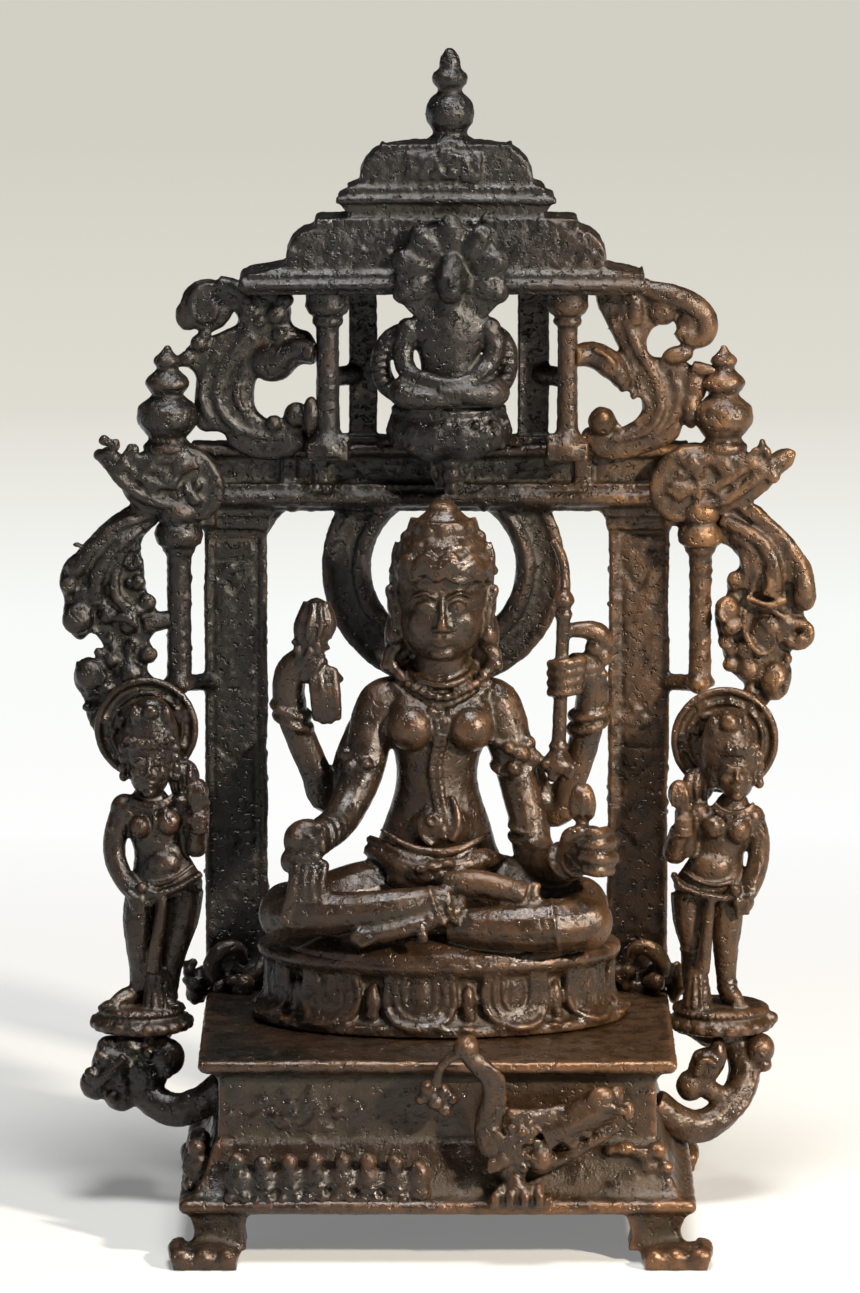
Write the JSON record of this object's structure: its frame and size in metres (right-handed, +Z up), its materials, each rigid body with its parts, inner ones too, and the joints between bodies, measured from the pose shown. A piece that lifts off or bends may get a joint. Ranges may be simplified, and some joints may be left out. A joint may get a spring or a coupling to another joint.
{
  "type": "jain goddess figure",
  "caption": "Small cast-bronze shrine: four-armed goddess on a lotus seat before an openwork arched frame, with standing attendants, on a hollow footed plinth.",
  "frame": {"origin": "on the surface it stands on, under the middle of the box around the whole shrine", "axes": "+X to the viewer's right, +Y towards the back, +Z up; the goddess looks along -Y"},
  "size_m": [0.208, 0.134, 0.3155],
  "materials": {
    "worn_bronze": "dark brown patina, copper-brown where handling has worn it",
    "black_bronze": "blackened patina with dust in the hollows"
  },
  "bodies": {
    "root": {"plinth": "worn_bronze", "goddess": "worn_bronze", "back_frame": "black_bronze", "attendant_left": "worn_bronze", "attendant_right": "worn_bronze"}
  },
  "joints": []
}
